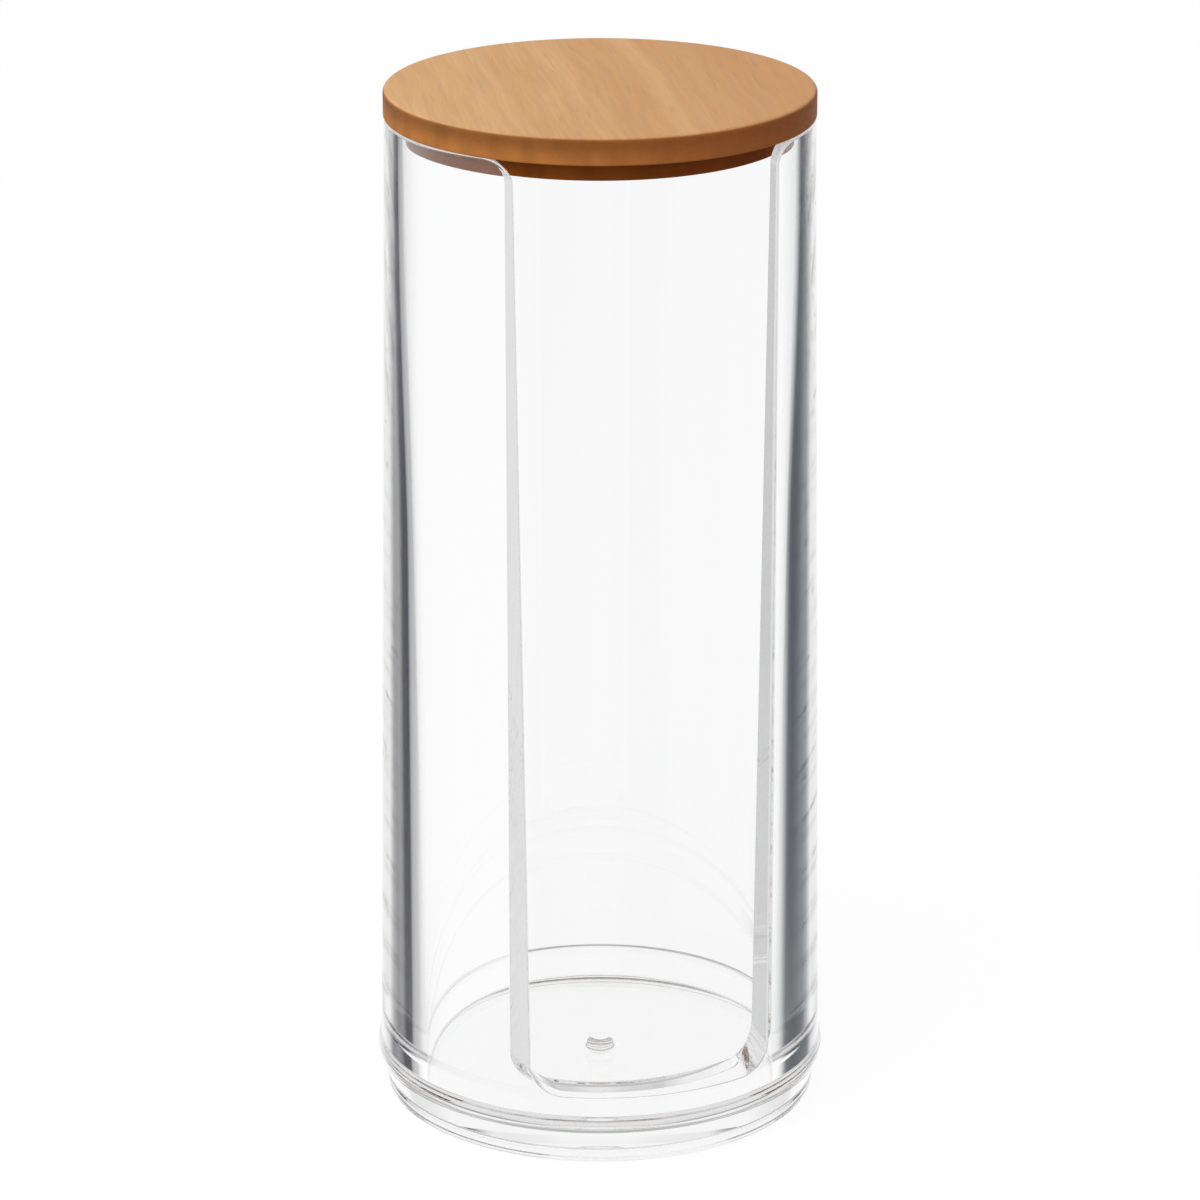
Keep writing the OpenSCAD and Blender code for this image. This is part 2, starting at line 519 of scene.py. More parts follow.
@dataclass(frozen=True)
class OiledWood:
    """Fine-grained oiled wood, cut from one board, with the grain in object space.

    Lengths and heights are in metres, and a pair is a low and a high end.

    Attributes:
        name: Name of the material.
        light: Colour of the palest grain.
        dark: Colour of the darkest grain.
        warm_shade: Darker, warmer colour that the grain turns to towards +X, painted shade on the side
            away from the lamp.
        edge: Colour of the turned edge.
        edge_low_z: Height up to which a point belongs to the edge.
        edge_high_z: Height from which it belongs to the upper face.
        shine: Specular level.
        grain_turn: Turn of the grain about Z, in radians.
        grain_stretch: Scale along the grain.
        wobble: Noise that bends the grain sideways.
        wobble_stretch: Scale of that noise along the grain.
        wobble_reach: How far it bends the grain.
        bands: Noise of the broad bands.
        lines: Noise of the growth lines.
        tone_range: Noise between which the dark grain turns into the light.
        line_share: Share that the lines have in the tone.
        fibres: Noise of the fibres.
        fibre_range: Noise between which a fibre rises.
        fibre_shade: Shade between and on the fibres.
        pores: Noise of the pores.
        pore_range: Noise between which a pore opens.
        pore_shade: Shade that a pore adds.
        shade_side_range: Places across the grain between which the painted shade towards +X comes in.
        shade_side_share: Share of that painted shade at its most.
        streak_x: Place of the pale streak across the grain.
        streak_range: Distances from it between which it fades.
        depth_below: Depths under the face between which the edge pales downwards.
        depth_shade: Shade of the edge at those two depths, the lower one first.
        mottle: Noise of the edge's mottling.
        mottle_stretch: Scale of the mottling along Z.
        mottle_range: Noise between which it runs from dark to pale.
        mottle_shade: Shade of the mottling.
        deep_shade_share: Share of each part of the edge's colour that the painted shade towards +X
            keeps.
        deep_shade_most: Share of that painted shade at its most.
        roughness: Roughness between and on the fibres.
        relief_height: Height of the fibres.
        relief_strength: Strength of the bump.
    """

    name: str
    light: tuple[float, float, float, float]
    dark: tuple[float, float, float, float]
    warm_shade: tuple[float, float, float, float]
    edge: tuple[float, float, float, float]
    edge_low_z: float
    edge_high_z: float
    shine: float = 0.2
    grain_turn: float = math.radians(6.0)
    grain_stretch: float = 0.06
    wobble: Noise = Noise(34.0)
    wobble_stretch: float = 0.45
    wobble_reach: float = 0.007
    bands: Noise = Noise(75.0, 3.0, 0.55)
    lines: Noise = Noise(420.0, 3.0, 0.65)
    tone_range: tuple[float, float] = (0.32, 0.68)
    line_share: float = 0.5
    fibres: Noise = Noise(1700.0, 2.0, 0.65)
    fibre_range: tuple[float, float] = (0.3, 0.7)
    fibre_shade: tuple[float, float] = (0.93, 1.05)
    pores: Noise = Noise(1150.0, 1.0)
    pore_range: tuple[float, float] = (0.67, 0.76)
    pore_shade: float = -0.08
    shade_side_range: tuple[float, float] = (-0.03, 0.036)
    shade_side_share: float = 0.7
    streak_x: float = 0.0125
    streak_range: tuple[float, float] = (0.0004, 0.0024)
    depth_below: tuple[float, float] = (0.004, 0.0008)
    depth_shade: tuple[float, float] = (1.32, 0.74)
    mottle: Noise = Noise(260.0, 3.0)
    mottle_stretch: float = 0.5
    mottle_range: tuple[float, float] = (0.3, 0.7)
    mottle_shade: tuple[float, float] = (0.88, 1.12)
    deep_shade_share: tuple[float, float, float, float] = (0.84, 0.62, 0.5, 1.0)
    deep_shade_most: float = 0.9
    roughness: tuple[float, float] = (0.5, 0.66)
    relief_height: float = 0.00005
    relief_strength: float = 0.6

    def make(self) -> bpy.types.Material:
        """Makes the material.

        Broad bands of tone, growth lines, fine fibres, short pores and one pale streak
        all run along the grain. Towards +X, the side away from the lamp, the colour turns
        darker and warmer: painted shade. The turned edge has taken more oil and is darker.
        It is darkest just under the rounded corner and paler downwards.

        Returns:
            The material.
        """
        material, bench = new_material(self.name)
        wobble_place = bench.placed((1.0, self.wobble_stretch, 1.0), self.grain_turn)
        wobble = bench.noise(wobble_place, self.wobble)
        straight = bench.parts(bench.placed((1.0, self.grain_stretch, 1.0), self.grain_turn))
        across = bench.math("ADD", straight[0], bench.math("MULTIPLY", wobble, self.wobble_reach))
        inputs = {"X": across, "Y": straight[1], "Z": straight[2]}
        bent = bench.node("CombineXYZ", inputs).outputs[0]
        # Painted shade: share of a darker, warmer colour, which grows towards +X, the side away from
        # the lamp
        side = bench.ranged(straight[0], *self.shade_side_range)
        fibres = bench.noise(bent, self.fibres)
        pores = bench.ranged(bench.noise(bent, self.pores), *self.pore_range)
        colour = self.grain_colour(bench, bent, across, side)
        shade = bench.math(
            "ADD",
            bench.ranged(fibres, *self.fibre_range, *self.fibre_shade),
            bench.math("MULTIPLY", pores, self.pore_shade),
        )
        colour = bench.mixed(1.0, colour, shade, "MULTIPLY")
        height = bench.parts(bench.object_place())[2]
        on_edge = bench.ranged(height, self.edge_low_z, self.edge_high_z, 1.0, 0.0)
        colour = bench.mixed(on_edge, colour, self.edge_colour(bench, height, side))
        relief = bench.math("SUBTRACT", fibres, pores)
        inputs = {"Height": relief, "Distance": self.relief_height, "Strength": self.relief_strength}
        bump = bench.node("Bump", inputs)
        shader = bench.node(
            "BsdfPrincipled",
            {
                "Base Color": colour,
                "Roughness": bench.ranged(fibres, *self.fibre_range, *self.roughness),
                "Specular IOR Level": self.shine,
                "Normal": bump.outputs[0],
            },
        )
        bench.node("OutputMaterial", {"Surface": shader.outputs[0]})
        return material

    def grain_colour(
        self,
        bench: Bench,
        bent: bpy.types.NodeSocket,
        across: bpy.types.NodeSocket,
        side: bpy.types.NodeSocket,
    ) -> bpy.types.NodeSocket:
        """Colour of the bands and lines, with painted shade towards +X and the pale streak on top.

        Args:
            bench: Bench of the material.
            bent: Place, bent with the grain.
            across: Its part across the grain.
            side: Share of the way towards +X, into the painted shade.

        Returns:
            The colour.
        """
        bands = bench.noise(bent, self.bands)
        lines = bench.noise(bent, self.lines)
        tone = bench.math(
            "ADD",
            bench.math("MULTIPLY", bench.ranged(bands, *self.tone_range), 1.0 - self.line_share),
            bench.math("MULTIPLY", bench.ranged(lines, *self.tone_range), self.line_share),
        )
        colour = bench.mixed(tone, self.dark, self.light)
        # Painted shade towards +X, the side away from the lamp
        colour = bench.mixed(bench.math("MULTIPLY", side, self.shade_side_share), colour, self.warm_shade)
        off_streak = bench.math("ABSOLUTE", bench.math("SUBTRACT", across, self.streak_x))
        in_streak = bench.ranged(off_streak, *self.streak_range, 1.0, 0.0)
        return bench.mixed(bench.math("MULTIPLY", in_streak, bands), colour, self.light)

    def edge_colour(
        self, bench: Bench, height: bpy.types.NodeSocket, side: bpy.types.NodeSocket
    ) -> bpy.types.NodeSocket:
        """Mottled colour of the turned edge, paler downwards, with painted shade towards +X.

        Args:
            bench: Bench of the material.
            height: Height of the point.
            side: Share of the way towards +X, into the painted shade.

        Returns:
            The colour.
        """
        low, high = (self.edge_high_z - below for below in self.depth_below)
        depth = bench.ranged(height, low, high, *self.depth_shade)
        mottle = bench.noise(bench.placed((1.0, 1.0, self.mottle_stretch)), self.mottle)
        mottle = bench.ranged(mottle, *self.mottle_range, *self.mottle_shade)
        colour = bench.mixed(1.0, self.edge, bench.math("MULTIPLY", depth, mottle), "MULTIPLY")
        # Painted shade: the edge turns deeper towards +X, the side away from the lamp
        deep = tuple(value * share for value, share in zip(self.edge, self.deep_shade_share))
        return bench.mixed(bench.math("MULTIPLY", side, self.deep_shade_most), colour, deep)


BOARD_WOOD = OiledWood(
    name="oiled_lid_wood",
    light=(0.755, 0.44, 0.20, 1.0),
    dark=(0.62, 0.325, 0.125, 1.0),
    warm_shade=(0.585, 0.275, 0.108, 1.0),
    edge=(0.425, 0.155, 0.036, 1.0),
    edge_low_z=0.1756,
    edge_high_z=0.17592,
)
# The plug is the same wood as the disc, painted much darker: painted shade under the disc
PLUG_WOOD = OiledWood(
    name="plug_wood_painted_shade",
    light=(0.30, 0.10, 0.012, 1.0),
    dark=(0.21, 0.062, 0.006, 1.0),
    warm_shade=(0.25, 0.075, 0.008, 1.0),
    edge=(0.25, 0.070, 0.008, 1.0),
    edge_low_z=0.1720,
    edge_high_z=0.1730,
    shine=0.08,
)


@dataclass
class ContainerShell:
    """Clear moulding: drafted wall, round-cornered front slot, collar, foot and floor.

    All sizes are in millimetres and radians. The slot faces -Y. The skin is worked out
    for the half with x above zero and mirrored. Azimuths count from the front.

    Both faces of the wall end below at a join, where the base and the floor take over.
    The collar's fade is the lean at which it runs out into the wall. The lip's round is
    that of the rim's edges, the slot's round that of its cut edges, and the soft round
    that of the recess and of the gate mark's foot.
    """

    rim_z: float = 171.5
    rim_wall: float = 2.7
    bore_floor_r: float = 30.6
    wall_draft: float = math.radians(0.92)
    bore_draft: float = math.radians(0.7)
    lip_round: float = 0.5
    floor_z: float = 5.0
    floor_round: float = 0.6
    recess_h: float = 1.5
    foot_w: float = 4.0
    foot_inset: float = 1.15
    foot_taper: float = 0.2
    foot_round: float = 0.6
    foot_h: float = 2.8
    collar_z: float = 7.3
    collar_out: float = 0.5
    collar_r: float = 3.2
    collar_fade: float = math.radians(28.0)
    gate_r: float = 2.4
    gate_top_r: float = 2.2
    gate_h: float = 1.6
    gate_round: float = 1.3
    sill_z: float = 12.3
    slot_half_w: float = 20.5
    slot_draft: float = math.radians(0.44)
    sill_corner_r: float = 5.0
    rim_corner_r: float = 4.0
    slot_round: float = 0.25
    soft_round: float = 0.3
    outer_join_z: float = 10.2
    inner_join_z: float = 8.2
    sill_steps: int = 20
    corner_steps: int = 16
    side_steps: int = 16
    rim_steps: int = 124
    round_steps: int = 4
    face_steps: int = 3
    join_steps: int = 5
    profile_steps: int = 6

    @property
    def rim_r(self) -> float:
        """Radius of the outer wall at the rim."""
        return self.bore_at(self.rim_z) + self.rim_wall

    def bore_at(self, z: np.ndarray | float) -> np.ndarray | float:
        """Radius of the bore at a height, which grows evenly with it."""
        return self.bore_floor_r + (z - self.floor_z) * math.tan(self.bore_draft)

    def wall_at(self, z: np.ndarray | float) -> np.ndarray | float:
        """Radius of the outer wall at a height, which shrinks evenly with it."""
        return self.rim_r + (self.rim_z - z) * math.tan(self.wall_draft)

    def slot_at(self, z: np.ndarray | float) -> np.ndarray | float:
        """Half width of the slot at a height."""
        return self.slot_half_w + (z - self.sill_z) * math.tan(self.slot_draft)

    def wall_point(self, grid: np.ndarray, side: Side) -> tuple[np.ndarray, np.ndarray]:
        """Points and normals of the wall's face over a grid of (azimuth, height).

        Formula: the point is at the face's radius at that height. The normal is the
        radial direction, leaned upwards by the draft, outwards or towards the axis.

        Args:
            grid: Azimuth and height on the last axis.
            side: Face of the wall.

        Returns:
            Points and normals.
        """
        azimuth, height = grid[..., 0], grid[..., 1]
        outer = side is Side.OUTER
        radius = self.wall_at(height) if outer else self.bore_at(height)
        lean = self.wall_draft if outer else self.bore_draft
        level = np.full_like(azimuth, side.value * math.cos(lean))
        normal = turned(azimuth, level, np.full_like(azimuth, math.sin(lean)))
        return turned(azimuth, radius, height), normal

    def slot_track(self) -> tuple[np.ndarray, np.ndarray]:
        """Front view of half the slot's edge, from the middle of the sill to the rim.

        Formula: straight along the sill, a quarter circle, straight up the leaning
        side, and a quarter circle that sweeps outwards until it is level with the rim.

        Returns:
            (x, z) of the points, and the directions in which the cut faces.
        """
        lean = self.slot_draft
        low_z, top_z = self.sill_z + self.sill_corner_r, self.rim_z - self.rim_corner_r
        low_x = self.slot_at(low_z) - self.sill_corner_r / math.cos(lean)
        top_x = self.slot_at(top_z) + self.rim_corner_r / math.cos(lean)
        low = arc_steps(-QUARTER_TURN, -lean, self.corner_steps)
        high = arc_steps(lean, QUARTER_TURN, self.corner_steps)
        low_out = np.stack([np.cos(low), np.sin(low)], axis=-1)
        high_out = np.stack([-np.cos(high), np.sin(high)], axis=-1)
        sill_x = np.linspace(0.0, low_x, self.sill_steps, endpoint=False)
        sill = np.stack([sill_x, np.full_like(sill_x, self.sill_z)], axis=-1)
        low_arc = np.array([low_x, low_z]) + self.sill_corner_r * low_out
        high_arc = np.array([top_x, top_z]) + self.rim_corner_r * high_out
        share = np.linspace(0.0, 1.0, self.side_steps + 1)[1:-1, None]
        side = low_arc[-1] * (1 - share) + high_arc[0] * share
        up = np.broadcast_to([0.0, 1.0], sill.shape)
        sideways = np.broadcast_to(high_out[0], side.shape)
        track = np.concatenate([sill, low_arc, side, high_arc])
        return track, np.concatenate([up, -low_out, sideways, high_out])

    def rolled_edge(self, side: Side) -> dict[str, np.ndarray]:
        """The round along the slot's edge and the rim, on one face of the wall.

        Formula: a ball rolls inside the plastic and touches both the cut and the wall's
        face. Its middle is its radius behind the cut and its radius behind the face.
        The round is the ball's surface between the two places that it touches.

        Args:
            side: Face of the wall.

        Returns:
            "middle", "size", "cut_way" and "face_way" along the edge, from the middle
            of the sill to the middle of the back.
        """
        track, cut_way = self.slot_track()
        share = np.clip((track[:, 1] - (self.rim_z - self.rim_corner_r)) / self.rim_corner_r, 0, 1)
        size = self.slot_round + (self.lip_round - self.slot_round) * share**2
        x, z = (track - size[:, None] * cut_way).T
        outer = side is Side.OUTER
        lean = self.wall_draft if outer else self.bore_draft
        face = self.wall_at if outer else self.bore_at
        reach = face(z) - side.value * size / math.cos(lean)
        azimuth = np.arcsin(x / reach)
        rest = np.linspace(azimuth[-1], HALF_TURN, self.rim_steps + 1)[1:]
        azimuth = np.concatenate([azimuth, rest])
        reach = np.concatenate([reach, np.full_like(rest, reach[-1])])
        z = np.concatenate([z, np.full_like(rest, z[-1])])
        size = np.concatenate([size, np.full_like(rest, size[-1])])
        upright = np.broadcast_to([0.0, 1.0], (len(rest), 2))
        cut_way = np.concatenate([cut_way, upright])
        cut = np.stack([cut_way[:, 0], np.zeros(len(cut_way)), cut_way[:, 1]], axis=-1)
        level = np.full_like(azimuth, side.value * math.cos(lean))
        face_way = turned(azimuth, level, np.full_like(azimuth, math.sin(lean)))
        middle = turned(azimuth, reach, z)
        return {"middle": middle, "size": size[:, None], "cut_way": cut, "face_way": face_way}

    def face_border(self, edge: dict[str, np.ndarray]) -> np.ndarray:
        """(azimuth, height) where the round runs into the wall's face."""
        touch = edge["middle"] + edge["size"] * edge["face_way"]
        return np.stack([np.arctan2(touch[:, 0], -touch[:, 1]), touch[:, 2]], axis=-1)

    def add_wall(
        self, skin: Skin, side: Side, edge: dict[str, np.ndarray], join_z: float
    ) -> np.ndarray:
        """Adds one face of the wall, from the edge's round down to a level line.

        Args:
            skin: Skin of the container.
            side: Face of the wall.
            edge: That face's rolled edge.
            join_z: Height of the level line.

        Returns:
            The azimuths of the columns along the level line.
        """
        border = self.face_border(edge)
        low_end = self.sill_steps + self.corner_steps
        high_end = low_end + self.side_steps + self.corner_steps // 2
        left, top = border[low_end : high_end + 1], border[high_end:]
        across = (top[:, 0] - top[0, 0]) / (top[-1, 0] - top[0, 0])
        upward = (left[:, 1] - left[0, 1]) / (left[-1, 1] - left[0, 1])
        split = left[0]
        spread = split[0] + (HALF_TURN - split[0]) * across
        bottom = np.stack([spread, np.full_like(spread, split[1])], axis=-1)
        rise = split[1] + (top[-1, 1] - split[1]) * upward
        right = np.stack([np.full_like(rise, HALF_TURN), rise], axis=-1)
        skin.add_both_sides(*self.wall_point(filled_patch(bottom, top, left, right), side))
        brim = np.concatenate([border[:low_end], bottom])
        share = np.linspace(0.0, 1.0, self.join_steps + 1)[:, None]
        heights = join_z + (brim[None, :, 1] - join_z) * share
        azimuths = np.broadcast_to(brim[None, :, 0], heights.shape)
        skin.add_both_sides(*self.wall_point(np.stack([azimuths, heights], axis=-1), side))
        return brim[:, 0]

    def add_edge(self, skin: Skin, outer: dict[str, np.ndarray], inner: dict[str, np.ndarray]) -> None:
        """Adds the cut face of the slot and the rim, with the round on both its edges.

        Args:
            skin: Skin of the container.
            outer: Rolled edge of the outer face.
            inner: Rolled edge of the inner face.
        """
        shores = []
        for edge in (outer, inner):
            ways = between_directions(edge["face_way"], edge["cut_way"], self.round_steps)
            skin.add_both_sides(edge["middle"] + edge["size"] * ways, ways)
            shores.append(edge["middle"] + edge["size"] * edge["cut_way"])
        share = np.linspace(0.0, 1.0, self.face_steps + 1)[:, None, None]
        flat = shores[0] * (1 - share) + shores[1] * share
        skin.add_both_sides(flat, np.broadcast_to(outer["cut_way"], flat.shape))

    def collar_corners(self) -> list[tuple[float, float]]:
        """The flank's foot, the crest's apex and the place where the collar meets the wall.

        Formula: the crest is an arc. The flank touches it from below and a line that
        leans by the fade touches it from above. They cross at the apex, its radius over
        the cosine of half their turn away from the arc's middle.

        Returns:
            Three corners, as (radius, height).
        """
        foot_r = self.wall_at(self.foot_h) - self.foot_inset + self.foot_taper
        middle_r = self.wall_at(self.collar_z) + self.collar_out - self.collar_r
        across, rise = foot_r - middle_r, self.collar_z - self.foot_h
        flank = math.asin(self.collar_r / math.hypot(across, rise)) - math.atan(across / rise)
        fade = self.collar_fade
        far = self.collar_r / math.cos((fade + flank) / 2)
        aim = (fade - flank) / 2
        apex = (middle_r + far * math.cos(aim), self.collar_z + far * math.sin(aim))
        touch_r = middle_r + self.collar_r * math.cos(fade)
        touch_z = self.collar_z + self.collar_r * math.sin(fade)
        slope = math.tan(self.wall_draft)
        run = (touch_r - self.wall_at(touch_z)) / (math.sin(fade) - math.cos(fade) * slope)
        meet = (touch_r - run * math.sin(fade), touch_z + run * math.cos(fade))
        return [(foot_r, self.foot_h), apex, meet]

    def add_base(self, skin: Skin, azimuth: np.ndarray) -> None:
        """Adds the recess, the foot and the collar, up to the outer join.

        Args:
            skin: Skin of the container.
            azimuth: Azimuths of the columns.
        """
        foot_r = self.wall_at(self.foot_h) - self.foot_inset
        recess_r = foot_r - self.foot_w
        corners = [
            (0.0, self.recess_h),
            (recess_r, self.recess_h),
            (recess_r, 0.0),
            (foot_r, 0.0),
            *self.collar_corners(),
            (self.wall_at(self.outer_join_z), self.outer_join_z),
        ]
        rounds = [
            self.soft_round, self.soft_round, self.foot_round,
            self.foot_round, self.collar_r, self.foot_round,
        ]
        profile, facing = rounded_profile(corners, rounds, self.profile_steps)
        skin.add_both_sides(*revolved(profile, facing, azimuth))

    def add_floor(self, skin: Skin, azimuth: np.ndarray) -> None:
        """Adds the foot of the bore, the floor and the gate mark, from the inner join.

        Args:
            skin: Skin of the container.
            azimuth: Azimuths of the columns.
        """
        gate_z = self.floor_z + self.gate_h
        corners = [
            (self.bore_at(self.inner_join_z), self.inner_join_z),
            (self.bore_floor_r, self.floor_z),
            (self.gate_r, self.floor_z),
            (self.gate_top_r, gate_z),
            (0.0, gate_z),
        ]
        rounds = [self.floor_round, self.soft_round, self.gate_round]
        profile, facing = rounded_profile(corners, rounds, self.profile_steps)
        skin.add_both_sides(*revolved(profile, facing, azimuth))

    def build(self, plastic: bpy.types.Material) -> bpy.types.Object:
        """Makes the whole moulding and ties it to its body.

        Args:
            plastic: Its material.

        Returns:
            The piece.
        """
        skin = Skin()
        outer, inner = self.rolled_edge(Side.OUTER), self.rolled_edge(Side.INNER)
        self.add_edge(skin, outer, inner)
        self.add_base(skin, self.add_wall(skin, Side.OUTER, outer, self.outer_join_z))
        self.add_floor(skin, self.add_wall(skin, Side.INNER, inner, self.inner_join_z))
        piece = skin.weld("moulded_container")
        piece.data.materials.append(plastic)
        ride_as(piece, Body.CONTAINER, Node.CONTAINER)
        return piece


@dataclass
class TurnedBoard:
    """A round board with a small arc on each edge. Sizes are in millimetres."""

    name: str
    radius: float
    low_z: float
    high_z: float
    low_round: float
    high_round: float
    columns: int = 224
    profile_steps: int = 6

    def build(self, wood: bpy.types.Material, node: Node, slot: Slot) -> bpy.types.Object:
        """Makes the board.

        Args:
            wood: Its material.
            node: CAD node that it stands for.
            slot: Material slot of the record; not used.

        Returns:
            The piece.
        """
        corners = [
            (0.0, self.low_z),
            (self.radius, self.low_z),
            (self.radius, self.high_z),
            (0.0, self.high_z),
        ]
        rounds = [self.low_round, self.high_round]
        profile, facing = rounded_profile(corners, rounds, self.profile_steps)
        skin = Skin()
        azimuth = np.linspace(0.0, 2 * HALF_TURN, self.columns + 1)
        skin.add(*revolved(profile, facing, azimuth))
        piece = skin.weld(self.name)
        piece.data.materials.append(wood)
        ride_as(piece, Body.LID, node)
        return piece


@dataclass
class Lid:
    """The wooden lid: a disc on the rim and a plug that keeps it in the mouth.

    Sizes are in millimetres. The rim's height and radius and the mouth's radius are the
    container's.
    """

    rim_z: float
    rim_r: float
    mouth_r: float
    disc_over: float = 0.15
    disc_h: float = 4.5
    disc_low_round: float = 0.3
    disc_top_round: float = 0.7
    plug_gap: float = 0.6
    plug_h: float = 3.3
    plug_low_round: float = 0.5
    plug_top_round: float = 0.05

    def build(self, board_wood: bpy.types.Material, plug_wood: bpy.types.Material) -> None:
        """Makes both boards.

        Args:
            board_wood: Material of the disc.
            plug_wood: Material of the plug, the disc's wood painted darker as the shade under the
                disc.
        """
        disc = TurnedBoard(
            name="lid_board",
            radius=self.rim_r + self.disc_over,
            low_z=self.rim_z,
            high_z=self.rim_z + self.disc_h,
            low_round=self.disc_low_round,
            high_round=self.disc_top_round,
        )
        plug = TurnedBoard(
            name="lid_plug_board",
            radius=self.mouth_r - self.plug_gap,
            low_z=self.rim_z - self.plug_h,
            high_z=self.rim_z,
            low_round=self.plug_low_round,
            high_round=self.plug_top_round,
        )
        disc.build(board_wood, Node.LID_DISC, Slot.LID_WOOD)
        plug.build(plug_wood, Node.LID_PLUG, Slot.PLUG_WOOD)


@dataclass
class Surroundings:
    """The world around the object: lit and dark panels, as its reflections meet them.

    Directions are given by their angle off the way that the camera looks, and by their
    rise, which is the sine of their slope. A pair is a low and a high end, and a level
    is a brightness.

    Attributes:
        camera_turn: Turn of the camera about the object, in radians.
        fill: Level of the world as it lights a matt surface.
        fill_lean: How much that level grows from the left to the right.
        left_cast: Red taken from and blue added to the dark panels at the left.
        right_cast: The same at the right.
        squeeze_rise: Rises between which the panels draw in.
        squeeze: Factor of the angle above those rises.
        stretch_rise: Rises between which the panels spread out.
        stretch: Factor of the angle above those rises.
        upper_rise: Rises between which the panels ahead end.
        upper_off: Angles, in half turns, between which a panel stops being ahead.
        sky_rise: Rises between which all the panels end.
        upper_level: Level above the panels and behind the camera.
        back_range: Cosines of the angle between which the level behind gives way.
        back_share: Share of that level straight behind the camera.
        lower_rise: Rises between which the shade under the object gives way.
        lower_share: Share of that shade straight below.
        lower_level: Level of that shade.
        deep_bounces: Reflections between which a ray counts as led along a wall.
        deep_level: Level that such a ray meets.
        open_level: Level that a reflection inside the container meets.
        face_dark: Lowest level that a reflection off the outside meets.
        face_start: Angles, in whole turns, between which it turns dark.
        face_end: Angles, in whole turns, between which it turns light again.
        panel_levels: Angle in degrees and level of each stop of the panels.
    """

    camera_turn: float
    fill: float = 0.48
    fill_lean: float = -0.24
    left_cast: tuple[float, float] = (0.002, 0.016)
    right_cast: tuple[float, float] = (0.018, 0.020)
    squeeze_rise: tuple[float, float] = (-0.38, -0.31)
    squeeze: float = 1.3
    stretch_rise: tuple[float, float] = (-0.27, -0.20)
    stretch: float = 0.62
    upper_rise: tuple[float, float] = (-0.25, -0.10)
    upper_off: tuple[float, float] = (0.12, 0.165)
    sky_rise: tuple[float, float] = (-0.10, 0.0)
    upper_level: float = 0.93
    back_range: tuple[float, float] = (-0.3, 0.0)
    back_share: float = 0.65
    lower_rise: tuple[float, float] = (-0.56, -0.43)
    lower_share: float = 0.85
    lower_level: float = 0.42
    deep_bounces: tuple[float, float] = (3.0, 5.5)
    deep_level: float = 0.75
    open_level: float = 0.88
    face_dark: float = 0.32
    face_start: tuple[float, float] = (0.088, 0.115)
    face_end: tuple[float, float] = (0.155, 0.200)
    panel_levels: tuple[tuple[float, float], ...] = (
        (-90.0, 1.00), (-60.0, 1.00), (-55.0, 0.86), (-51.0, 0.56), (-47.0, 0.48),
        (-44.5, 0.36), (-42.5, 0.01), (-35.5, 0.00), (-32.5, 0.16), (-29.0, 0.26),
        (-24.0, 0.18), (-18.0, 0.28), (-11.0, 0.58), (-4.0, 0.86), (6.0, 0.84),
        (14.0, 0.38), (20.0, 0.13), (26.0, 0.09), (32.0, 0.06), (41.0, 0.05),
        (46.0, 0.08), (49.0, 0.34), (53.0, 0.74), (58.0, 0.98), (90.0, 1.00),
    )

    def off_view(
        self, bench: Bench, aim: bpy.types.NodeSocket, span: float
    ) -> tuple[bpy.types.NodeSocket, bpy.types.NodeSocket]:
        """Angle of a direction off the way that the camera looks, positive to the right.

        Args:
            bench: Bench of the world.
            aim: Direction into the world.
            span: Angle after which the count starts again.

        Returns:
            The angle in radians, and as a share of the span from -0.5 to 0.5.
        """
        parts = bench.parts(aim)
        angle = bench.math("ARCTAN2", parts[0], parts[1])
        angle = bench.math("ADD", angle, self.camera_turn)
        spans = bench.math("ADD", bench.math("DIVIDE", angle, span), 0.5)
        return angle, bench.math("SUBTRACT", bench.math("FRACT", spans), 0.5)

    def panel_ramp(self, bench: Bench, share: bpy.types.NodeSocket) -> bpy.types.NodeSocket:
        """Colour of the panels over a half turn, a little cooler where they are dark.

        Args:
            bench: Bench of the world.
            share: Place along the half turn, from 0 to 1.

        Returns:
            The colour.
        """
        ramp = bench.node("ValToRGB", {"Fac": share})
        elements = ramp.color_ramp.elements
        last = len(self.panel_levels) - 1
        for number, (degrees, level) in enumerate(self.panel_levels):
            if number in (0, last):
                stop = elements[0 if number == 0 else -1]
            else:
                stop = elements.new(math.radians(degrees) / HALF_TURN + 0.5)
            red, blue = self.left_cast if degrees < 0.0 else self.right_cast
            dark = 1.0 - level
            stop.color = (max(level - red * dark, 0.0), level, level + blue * dark, 1.0)
        return ramp.outputs[0]

